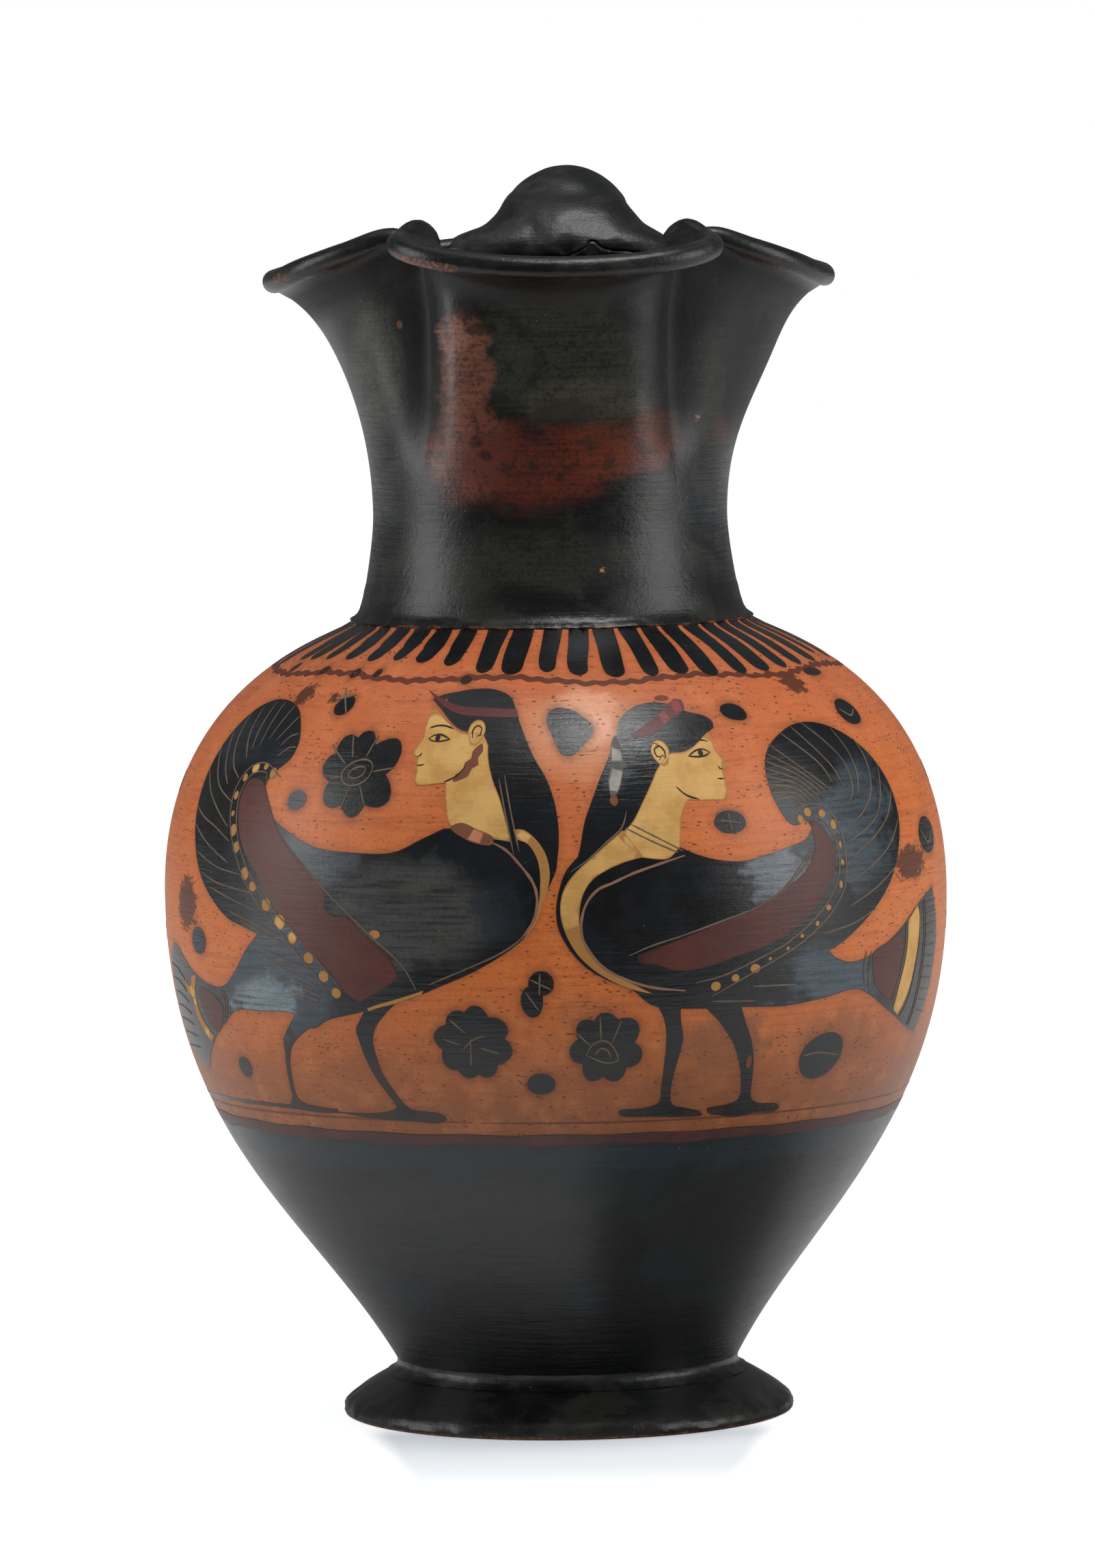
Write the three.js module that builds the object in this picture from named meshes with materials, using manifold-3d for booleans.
// An oinochoe, a wine jug of black-glazed clay with a trefoil mouth, as the pieces that a potter lutes together.
// Millimetres, +Z up. The spout lobe points to -Y and the handle to +Y. The origin is the centre of the plane
// that the foot stands on. Each piece keeps a luting seam to the pieces that it is joined to.

import * as THREE from 'three';
import { mergeVertices } from 'three/addons/utils/BufferGeometryUtils.js';
import Module from 'manifold-3d';

const wasm = await Module();
wasm.setup();

// Luting seam, and fineness of the faceted surfaces
const SEAM = 0.3;
const TURNED_FACETS = 48;
const BELLY_STEPS = 9;
const NECK_COLUMNS = 80;
const NECK_BASE_STEPS = 3;
const NECK_FLARE_STEPS = 9;
const LIP_FACETS = 7;
const FILLET_FACETS = 8;

// Foot: a turned disc that stands on a ring round a shallow recess
const FOOT_RADIUS = 48;
const FOOT_HEIGHT = 10;
const FOOT_TOP_RADIUS = 36;
const FOOT_EDGE_RADIUS = 2.6;
const STANDING_RING_INNER_RADIUS = 33;
const STANDING_RING_OUTER_RADIUS = 45.4;
const RECESS_DEPTH = 3.6;
const RECESS_SLOPE_WIDTH = 4;

// Body: an ovoid shell with its own floor, open at the shoulder
const BELLY_RADIUS = 83;
const BELLY_HEIGHT = 111.3;
const BODY_BASE_RADIUS = 35.4;
const BODY_WALL = 5;
const FLOOR_THICKNESS = 6;
const SHOULDER_RADIUS = 42.3;
const SHOULDER_HEIGHT = 169.2;

// Neck: turned at its base, flaring from its waist into the mouth
const NECK_BASE_RADIUS = 40.8;
const WAIST_RADIUS = 37.4;
const WAIST_RISE = 21.5;
const NECK_WALL = 4;

// Mouth: half widths, reaches from the axis and heights of the wall's outer edge at the rim
const SPOUT_HALF_WIDTH = 33;
const SPOUT_REACH = 52;
const SPOUT_RIM_HEIGHT = 242.6;
const PINCH_HALF_WIDTH = 26;
const PINCH_REACH = 20.5;
const PINCH_RIM_HEIGHT = 250.6;
const PINCH_ANGLE = THREE.MathUtils.degToRad(45);
const SIDE_LOBE_REACH = 58.6;
const SIDE_RIM_HEIGHT = 240;
const BACK_REACH = 46;
const BACK_RIM_HEIGHT = 248.6;
const LIP_RADIUS = 2.5;
const LIP_ROLL = 0.6;

// Handle: a strap of oval section from the back of the rim down to its landing below the shoulder's top
const HANDLE_TOP_HEIGHT = 265;
const HANDLE_REACH = 82.4;
const HANDLE_LANDING_DROP = 20.2;
const STRAP_HALF_WIDTH = 11.6;
const STRAP_HALF_THICKNESS = 5.8;
const RIM_END_HALF_WIDTH = 16.5;
const SHOULDER_END_HALF_WIDTH = 15;
const HANDLE_SKEW = 4;
const HANDLE_STEPS = 26;
const HANDLE_FACETS = 16;

// Clay worked over the handle's two ends, and rolled into the two turned joints
const RIM_PAD_RADII = new THREE.Vector3(18, 7.5, 12);
const RIM_PAD_SHIFT = new THREE.Vector3(4, -4.5, -2);
const SHOULDER_PAD_RADII = new THREE.Vector3(20, 7, 15);
const COLLAR_SECTION_RADIUS = 2;
const FOOT_FILLET_SECTION_RADIUS = 1.7;

// Solids and booleans

function solidFrom(geometry) {
  const bare = geometry.clone();
  bare.deleteAttribute('normal');
  bare.deleteAttribute('uv');
  const merged = mergeVertices(bare, 1e-4);
  const mesh = new wasm.Mesh({
    numProp: 3,
    vertProperties: merged.attributes.position.array,
    triVerts: new Uint32Array(merged.index.array),
  });
  return new wasm.Manifold(mesh);
}

function geometryFrom(solid) {
  const mesh = solid.getMesh();
  const geometry = new THREE.BufferGeometry();
  geometry.setAttribute('position', new THREE.BufferAttribute(mesh.vertProperties, 3));
  geometry.setIndex(new THREE.BufferAttribute(mesh.triVerts, 1));
  geometry.computeVertexNormals();
  return geometry;
}

// The largest body left of a blank once its neighbours, grown by the seam, are cut away.
function trimmed(blank, neighbours) {
  let solid = solidFrom(blank);
  for (const neighbour of neighbours) solid = solid.subtract(solidFrom(neighbour));
  const bodies = solid.decompose();
  bodies.sort((a, b) => b.volume() - a.volume());
  return geometryFrom(bodies[0]);
}

// Turned shapes

// A profile of [radius, height] points revolved about +Z: up the outside, then down the inside or to the axis.
function turned(profile) {
  const points = profile.map((point) => new THREE.Vector2(point.x, point.y));
  const geometry = new THREE.LatheGeometry(points, TURNED_FACETS);
  geometry.rotateX(Math.PI / 2);
  return geometry;
}

// Each point of an open profile moved square to it, outwards on a profile that runs upwards.
function offsetProfile(profile, distance) {
  return profile.map((point, index) => {
    const before = profile[Math.max(index - 1, 0)];
    const after = profile[Math.min(index + 1, profile.length - 1)];
    const along = after.clone().sub(before).normalize();
    return new THREE.Vector2(point.x + along.y * distance, point.y - along.x * distance);
  });
}

function roundSection(centre, radius) {
  const points = [];
  for (let i = 0; i <= FILLET_FACETS; i += 1) {
    const angle = (i / FILLET_FACETS) * 2 * Math.PI;
    points.push(new THREE.Vector2(centre.x + radius * Math.cos(angle), centre.y + radius * Math.sin(angle)));
  }
  return points;
}

// Foot

// From the axis under the recess, round the standing ring and the edge, up the slope to the top face.
function footProfile(grow) {
  const edge = new THREE.Vector2(FOOT_RADIUS - FOOT_EDGE_RADIUS, FOOT_EDGE_RADIUS);
  const edgeReach = FOOT_EDGE_RADIUS + grow;
  const points = [
    new THREE.Vector2(0, RECESS_DEPTH - grow),
    new THREE.Vector2(STANDING_RING_INNER_RADIUS - RECESS_SLOPE_WIDTH, RECESS_DEPTH - grow),
    new THREE.Vector2(STANDING_RING_INNER_RADIUS, -grow),
    new THREE.Vector2(STANDING_RING_OUTER_RADIUS, -grow),
  ];
  for (const degrees of [-60, -25, 10, 45]) {
    const angle = THREE.MathUtils.degToRad(degrees);
    const round = new THREE.Vector2(Math.cos(angle), Math.sin(angle)).multiplyScalar(edgeReach);
    points.push(edge.clone().add(round));
  }
  const slopeStart = points[points.length - 1];
  const slopeEnd = new THREE.Vector2(FOOT_TOP_RADIUS + grow, FOOT_HEIGHT + grow);
  const swell = new THREE.Vector2((slopeStart.x + slopeEnd.x) / 2 + 0.8, (slopeStart.y + slopeEnd.y) / 2 + 0.8);
  points.push(swell, slopeEnd, new THREE.Vector2(0, FOOT_HEIGHT + grow));
  return points;
}

// Body

const bodyBase = new THREE.Vector2(BODY_BASE_RADIUS, FOOT_HEIGHT + SEAM);
const belly = new THREE.Vector2(BELLY_RADIUS, BELLY_HEIGHT);
const shoulderTop = new THREE.Vector2(SHOULDER_RADIUS, SHOULDER_HEIGHT);

// The outside of the belly: a full lower curve that rises steeply off the foot, and a round shoulder that sweeps
// up into the neck. The shares give the fullness of the two curves.
function bellyProfile() {
  const lowerRise = belly.y - bodyBase.y;
  const upperRise = shoulderTop.y - belly.y;
  const spread = belly.x - bodyBase.x;
  const lower = new THREE.CubicBezierCurve(
    bodyBase,
    new THREE.Vector2(bodyBase.x + 0.34 * spread, bodyBase.y + 0.3 * lowerRise),
    new THREE.Vector2(belly.x, belly.y - 0.51 * lowerRise),
    belly
  );
  const upper = new THREE.CubicBezierCurve(
    belly,
    new THREE.Vector2(belly.x, belly.y + 0.84 * upperRise),
    new THREE.Vector2(shoulderTop.x + 0.8, shoulderTop.y - 0.05 * upperRise),
    shoulderTop
  );
  return [...lower.getPoints(BELLY_STEPS), ...upper.getPoints(BELLY_STEPS).slice(1)];
}

function bodyProfile() {
  const outside = bellyProfile();
  const floorHeight = bodyBase.y + FLOOR_THICKNESS;
  const inside = offsetProfile(outside, -BODY_WALL).filter(
    (point) => point.y > floorHeight + BODY_WALL / 2 && point.y < SHOULDER_HEIGHT - 1
  );
  const mouthEdge = new THREE.Vector2(SHOULDER_RADIUS - BODY_WALL, SHOULDER_HEIGHT);
  const floorEdge = new THREE.Vector2(inside[0].x - BODY_WALL, floorHeight);
  return [
    new THREE.Vector2(0, bodyBase.y),
    ...outside,
    mouthEdge,
    ...inside.reverse(),
    floorEdge,
    new THREE.Vector2(0, floorHeight),
  ];
}

// The whole space that the body fills, hollow included, grown all round.
function bodyEnvelope(grow) {
  const skin = offsetProfile(bellyProfile(), grow);
  const bottom = bodyBase.y - grow;
  const top = SHOULDER_HEIGHT + grow;
  skin[0].y = bottom;
  skin[skin.length - 1].y = top;
  return turned([new THREE.Vector2(0, bottom), ...skin, new THREE.Vector2(0, top)]);
}

// Neck and mouth

const neckBaseHeight = SHOULDER_HEIGHT + SEAM;
const waistHeight = neckBaseHeight + WAIST_RISE;

// Half of the trefoil rim, from the middle of the spout round one side to the middle of the back.
const HALF_RIM = [
  [0, -SPOUT_REACH, SPOUT_RIM_HEIGHT],
  [0.44 * SPOUT_HALF_WIDTH, -0.97 * SPOUT_REACH, SPOUT_RIM_HEIGHT + 0.6],
  [0.8 * SPOUT_HALF_WIDTH, -0.87 * SPOUT_REACH, SPOUT_RIM_HEIGHT + 2.2],
  [SPOUT_HALF_WIDTH, -0.72 * SPOUT_REACH, SPOUT_RIM_HEIGHT + 4.6],
  [0.98 * SPOUT_HALF_WIDTH, -0.57 * SPOUT_REACH, PINCH_RIM_HEIGHT - 2.4],
  [PINCH_HALF_WIDTH + 2.6, -PINCH_REACH - 4, PINCH_RIM_HEIGHT - 0.6],
  [PINCH_HALF_WIDTH, -PINCH_REACH, PINCH_RIM_HEIGHT],
  [PINCH_HALF_WIDTH + 5.5, -PINCH_REACH - 1, PINCH_RIM_HEIGHT - 0.4],
  [0.73 * SIDE_LOBE_REACH, -PINCH_REACH + 1, PINCH_RIM_HEIGHT - 3],
  [0.88 * SIDE_LOBE_REACH, -PINCH_REACH + 7.5, SIDE_RIM_HEIGHT + 3.6],
  [0.97 * SIDE_LOBE_REACH, -3, SIDE_RIM_HEIGHT + 0.8],
  [SIDE_LOBE_REACH, 8, SIDE_RIM_HEIGHT],
  [0.95 * SIDE_LOBE_REACH, 0.47 * BACK_REACH, SIDE_RIM_HEIGHT + 1],
  [0.82 * SIDE_LOBE_REACH, 0.72 * BACK_REACH, SIDE_RIM_HEIGHT + 3],
  [0.6 * SIDE_LOBE_REACH, 0.89 * BACK_REACH, BACK_RIM_HEIGHT - 3.6],
  [0.33 * SIDE_LOBE_REACH, 0.97 * BACK_REACH, BACK_RIM_HEIGHT - 1.4],
  [0, BACK_REACH, BACK_RIM_HEIGHT],
];
const PINCH_INDEX = 6;

const halfRim = new THREE.CatmullRomCurve3(HALF_RIM.map((point) => new THREE.Vector3(...point)));
const pinchShare = arcShare(halfRim, PINCH_INDEX / (HALF_RIM.length - 1));

// The share of a curve's length that lies before its parameter u.
function arcShare(curve, u) {
  const lengths = curve.getLengths(400);
  return lengths[Math.round(u * 400)] / lengths[400];
}

// Where a column of the neck's wall starts on the round waist and where it ends on the rim. The turn runs from -1
// at the back, over 0 at the middle of the spout, to 1 at the back again.
function neckColumn(turn) {
  const share = Math.min(Math.abs(turn), 1);
  const side = Math.sign(turn) || 1;
  const rim = halfRim.getPointAt(share);
  rim.x *= side;
  const inSpout = share < pinchShare;
  const spoutAngle = (PINCH_ANGLE * share) / pinchShare;
  const sideAngle = PINCH_ANGLE + ((Math.PI - PINCH_ANGLE) * (share - pinchShare)) / (1 - pinchShare);
  const angle = side * (inSpout ? spoutAngle : sideAngle);
  const spoutness = THREE.MathUtils.smoothstep(pinchShare * 1.3 - share, 0, pinchShare * 0.5);
  return { angle, rim, spoutness };
}

// How far the wall has left the round neck for the trefoil rim at a share of the flare's height. The spout stays
// upright and turns out late, and the side lobes flare early.
function flare(share, spoutness) {
  const spout = 0.3 * share ** 4 + 0.7 * share ** 22;
  const side = 0.75 * share ** 2 + 0.25 * share ** 12;
  return THREE.MathUtils.lerp(side, spout, spoutness);
}

// A point of the neck's outer wall. The level runs from -1 at the base, over 0 at the waist, to 1 at the rim.
function neckPoint(turn, level) {
  const { angle, rim, spoutness } = neckColumn(turn);
  const round = new THREE.Vector3(Math.sin(angle), -Math.cos(angle), 0);
  if (level <= 0) {
    const radius = WAIST_RADIUS + (NECK_BASE_RADIUS - WAIST_RADIUS) * (-level) ** 1.5;
    return round.multiplyScalar(radius).setZ(waistHeight + level * WAIST_RISE);
  }
  const share = flare(level, spoutness);
  const point = round.multiplyScalar(WAIST_RADIUS).lerp(new THREE.Vector3(rim.x, rim.y, 0), share);
  return point.setZ(THREE.MathUtils.lerp(waistHeight, rim.z, level));
}

// The wall's own directions at a point: out of the clay, and up along it.
function neckFrame(turn, level) {
  const step = 0.004;
  const low = Math.max(level - step, -1);
  const high = Math.min(level + step, 1);
  const across = neckPoint(wrapTurn(turn + step), level).sub(neckPoint(wrapTurn(turn - step), level));
  const along = neckPoint(turn, high).sub(neckPoint(turn, low)).normalize();
  const out = across.cross(along).normalize();
  return { along, out };
}

function wrapTurn(turn) {
  if (turn > 1) return turn - 2;
  if (turn < -1) return turn + 2;
  return turn;
}

const neckLevels = [];
for (let i = NECK_BASE_STEPS; i > 0; i -= 1) neckLevels.push(-i / NECK_BASE_STEPS);
for (let i = 0; i < NECK_FLARE_STEPS; i += 1) neckLevels.push(0.945 * (i / (NECK_FLARE_STEPS - 1)));

const neckTurns = [];
for (let i = 0; i < NECK_COLUMNS; i += 1) neckTurns.push((2 * i) / NECK_COLUMNS - 1);

function neckWallPoint(turn, level, distance) {
  const point = neckPoint(turn, level).addScaledVector(neckFrame(turn, level).out, distance);
  if (level === -1) point.z = neckBaseHeight;
  return point;
}

// The lip's round section at one column, from under its outside over the top to its inside.
function lipPoints(turn, grow) {
  const { along, out } = neckFrame(turn, 1);
  const centre = neckPoint(turn, 1).addScaledVector(out, LIP_ROLL - NECK_WALL / 2);
  const points = [];
  for (let i = 0; i < LIP_FACETS; i += 1) {
    const angle = THREE.MathUtils.degToRad(-40 + (260 * i) / (LIP_FACETS - 1));
    const point = centre.clone();
    point.addScaledVector(out, (LIP_RADIUS + grow) * Math.cos(angle));
    point.addScaledVector(along, (LIP_RADIUS + grow) * Math.sin(angle));
    points.push(point);
  }
  return points;
}

// The neck as a closed shell: up the outside of the wall, over the lip and down the inside.
function neckShell(grow) {
  const columns = neckTurns.map((turn) => {
    const outside = neckLevels.map((level) => neckWallPoint(turn, level, grow));
    const inside = neckLevels.map((level) => neckWallPoint(turn, level, -NECK_WALL - grow));
    outside[0].z -= grow;
    inside[0].z -= grow;
    return [...outside, ...lipPoints(turn, grow), ...inside.reverse()];
  });
  return ringGeometry(columns);
}

// The whole space that the neck fills, mouth included, grown all round.
function neckEnvelope(grow) {
  const rings = neckLevels.map((level) => neckTurns.map((turn) => neckWallPoint(turn, level, grow)));
  for (const point of rings[0]) point.z -= grow;
  for (let i = 0; i <= 3; i += 1) rings.push(neckTurns.map((turn) => lipPoints(turn, grow)[i]));
  return loftGeometry(rings);
}

// A skin over columns of points that wraps round in both directions, as a ring's does.
function ringGeometry(columns) {
  const rows = columns[0].length;
  const positions = columns.flat().flatMap((point) => point.toArray());
  const at = (column, row) => (column % columns.length) * rows + (row % rows);
  const index = [];
  for (let i = 0; i < columns.length; i += 1) {
    for (let j = 0; j < rows; j += 1) {
      index.push(at(i, j), at(i + 1, j), at(i + 1, j + 1));
      index.push(at(i, j), at(i + 1, j + 1), at(i, j + 1));
    }
  }
  return indexed(positions, index);
}

// A skin over closed rings of points, with a flat fan over each end. Rings run counterclockwise seen from the end.
function loftGeometry(rings) {
  const count = rings[0].length;
  const positions = rings.flat().flatMap((point) => point.toArray());
  const at = (ring, i) => ring * count + (i % count);
  const index = [];
  for (let ring = 0; ring < rings.length - 1; ring += 1) {
    for (let i = 0; i < count; i += 1) {
      index.push(at(ring, i), at(ring, i + 1), at(ring + 1, i + 1));
      index.push(at(ring, i), at(ring + 1, i + 1), at(ring + 1, i));
    }
  }
  const last = rings.length - 1;
  const start = positions.length / 3;
  for (const ring of [rings[0], rings[last]]) {
    const middle = ring.reduce((sum, point) => sum.add(point), new THREE.Vector3()).divideScalar(count);
    positions.push(...middle.toArray());
  }
  for (let i = 0; i < count; i += 1) {
    index.push(start, at(0, i + 1), at(0, i));
    index.push(start + 1, at(last, i), at(last, i + 1));
  }
  return indexed(positions, index);
}

function indexed(positions, index) {
  const geometry = new THREE.BufferGeometry();
  geometry.setAttribute('position', new THREE.Float32BufferAttribute(positions, 3));
  geometry.setIndex(index);
  geometry.computeVertexNormals();
  return geometry;
}

// Handle

const rimBack = new THREE.Vector3(0, BACK_REACH, BACK_RIM_HEIGHT);

// The shoulder's radius at the height where the handle lands.
function bellyRadiusAt(height) {
  const profile = bellyProfile();
  const above = profile.findIndex((point) => point.y >= height);
  const low = profile[above - 1];
  const high = profile[above];
  return THREE.MathUtils.mapLinear(height, low.y, high.y, low.x, high.x);
}

const landingHeight = SHOULDER_HEIGHT - HANDLE_LANDING_DROP;
const landing = new THREE.Vector3(HANDLE_SKEW / 3, bellyRadiusAt(landingHeight), landingHeight);

// The middle of the strap: up off the back of the rim, over, down behind the neck and in to the shoulder.
function handlePath() {
  const crown = HANDLE_TOP_HEIGHT - STRAP_HALF_THICKNESS;
  const outer = HANDLE_REACH - STRAP_HALF_THICKNESS;
  const drop = crown - landing.z;
  return new THREE.CatmullRomCurve3([
    new THREE.Vector3(0, rimBack.y - 5, rimBack.z - 7),
    new THREE.Vector3(HANDLE_SKEW / 2, rimBack.y + 1.5, rimBack.z + 2),
    new THREE.Vector3(HANDLE_SKEW, rimBack.y + 13, crown),
    new THREE.Vector3(HANDLE_SKEW, outer - 6.5, crown - 0.06 * drop),
    new THREE.Vector3(HANDLE_SKEW, outer - 1, crown - 0.2 * drop),
    new THREE.Vector3(HANDLE_SKEW, outer, crown - 0.42 * drop),
    new THREE.Vector3(HANDLE_SKEW, outer - 0.4, crown - 0.66 * drop),
    new THREE.Vector3(HANDLE_SKEW / 2, outer - 1.6, crown - 0.86 * drop),
    new THREE.Vector3(landing.x, landing.y, landing.z),
    new THREE.Vector3(landing.x, landing.y - 6, landing.z - 5),
  ]);
}

// An oval ring round the path at each step, wider towards both ends.
function handleRings(grow) {
  const path = handlePath();
  const rings = [];
  for (let i = 0; i <= HANDLE_STEPS; i += 1) {
    const share = i / HANDLE_STEPS;
    const middle = path.getPointAt(share);
    const along = path.getTangentAt(share);
    if (i === 0) middle.addScaledVector(along, -grow);
    if (i === HANDLE_STEPS) middle.addScaledVector(along, grow);
    const wide = new THREE.Vector3(1, 0, 0).addScaledVector(along, -along.x).normalize();
    const thick = along.clone().cross(wide);
    const atRim = THREE.MathUtils.smoothstep(0.16 - share, 0, 0.16);
    const atShoulder = THREE.MathUtils.smoothstep(share, 0.82, 1);
    const extra = atRim * (RIM_END_HALF_WIDTH - STRAP_HALF_WIDTH)
      + atShoulder * (SHOULDER_END_HALF_WIDTH - STRAP_HALF_WIDTH);
    const halfWidth = STRAP_HALF_WIDTH + extra + grow;
    const halfThickness = STRAP_HALF_THICKNESS + grow;
    const ring = [];
    for (let j = 0; j < HANDLE_FACETS; j += 1) {
      const angle = (j / HANDLE_FACETS) * 2 * Math.PI;
      const point = middle.clone();
      point.addScaledVector(wide, halfWidth * Math.cos(angle));
      point.addScaledVector(thick, halfThickness * Math.sin(angle));
      ring.push(point);
    }
    rings.push(ring);
  }
  return rings;
}

// A worked lump of clay: an oval ball about a point, tipped about +X.
function clayLump(centre, radii, tip) {
  const geometry = new THREE.SphereGeometry(1, 20, 12);
  geometry.scale(radii.x, radii.y, radii.z);
  geometry.rotateX(tip);
  geometry.translate(centre.x, centre.y, centre.z);
  return geometry;
}

// The pieces

const handleBlank = loftGeometry(handleRings(0));
const handleSpace = loftGeometry(handleRings(SEAM));
const bodySpace = bodyEnvelope(SEAM);
const neckSpace = neckEnvelope(SEAM);
const footSpace = turned(footProfile(SEAM));

const collarCentre = new THREE.Vector2(NECK_BASE_RADIUS + 0.4, neckBaseHeight + 0.6);
const footFilletCentre = new THREE.Vector2(BODY_BASE_RADIUS + 1.3, FOOT_HEIGHT + 1);
const shoulderTilt = Math.atan2(landing.z - BELLY_HEIGHT, landing.y);

const GLOSS = { color: '#17181a', roughness: 0.32, metalness: 0 };
const CLAY = { color: '#c4683c', roughness: 0.55, metalness: 0 };

function piece(name, geometry, finish) {
  const mesh = new THREE.Mesh(geometry, new THREE.MeshStandardMaterial(finish));
  mesh.name = name;
  return mesh;
}

function foot() {
  return piece('foot', turned(footProfile(0)), GLOSS);
}

function footFillet() {
  const blank = turned(roundSection(footFilletCentre, FOOT_FILLET_SECTION_RADIUS));
  return piece('foot_fillet', trimmed(blank, [bodySpace, footSpace]), GLOSS);
}

function body() {
  return piece('body', turned(bodyProfile()), CLAY);
}

function neckCollar() {
  const blank = turned(roundSection(collarCentre, COLLAR_SECTION_RADIUS));
  return piece('neck_collar', trimmed(blank, [bodySpace, neckSpace]), GLOSS);
}

function neck() {
  return piece('neck', neckShell(0), GLOSS);
}

function handle() {
  return piece('handle', trimmed(handleBlank, [bodySpace, neckSpace, neckShell(SEAM)]), GLOSS);
}

function handleRimPad() {
  const blank = clayLump(rimBack.clone().add(RIM_PAD_SHIFT), RIM_PAD_RADII, 0);
  return piece('handle_rim_pad', trimmed(blank, [neckShell(SEAM), handleSpace]), GLOSS);
}

function handleShoulderPad() {
  const blank = clayLump(landing, SHOULDER_PAD_RADII, shoulderTilt);
  return piece('handle_shoulder_pad', trimmed(blank, [bodySpace, handleSpace]), GLOSS);
}

const oinochoe = new THREE.Group();
oinochoe.add(
  foot(),
  footFillet(),
  body(),
  neckCollar(),
  neck(),
  handle(),
  handleRimPad(),
  handleShoulderPad()
);

export default oinochoe;
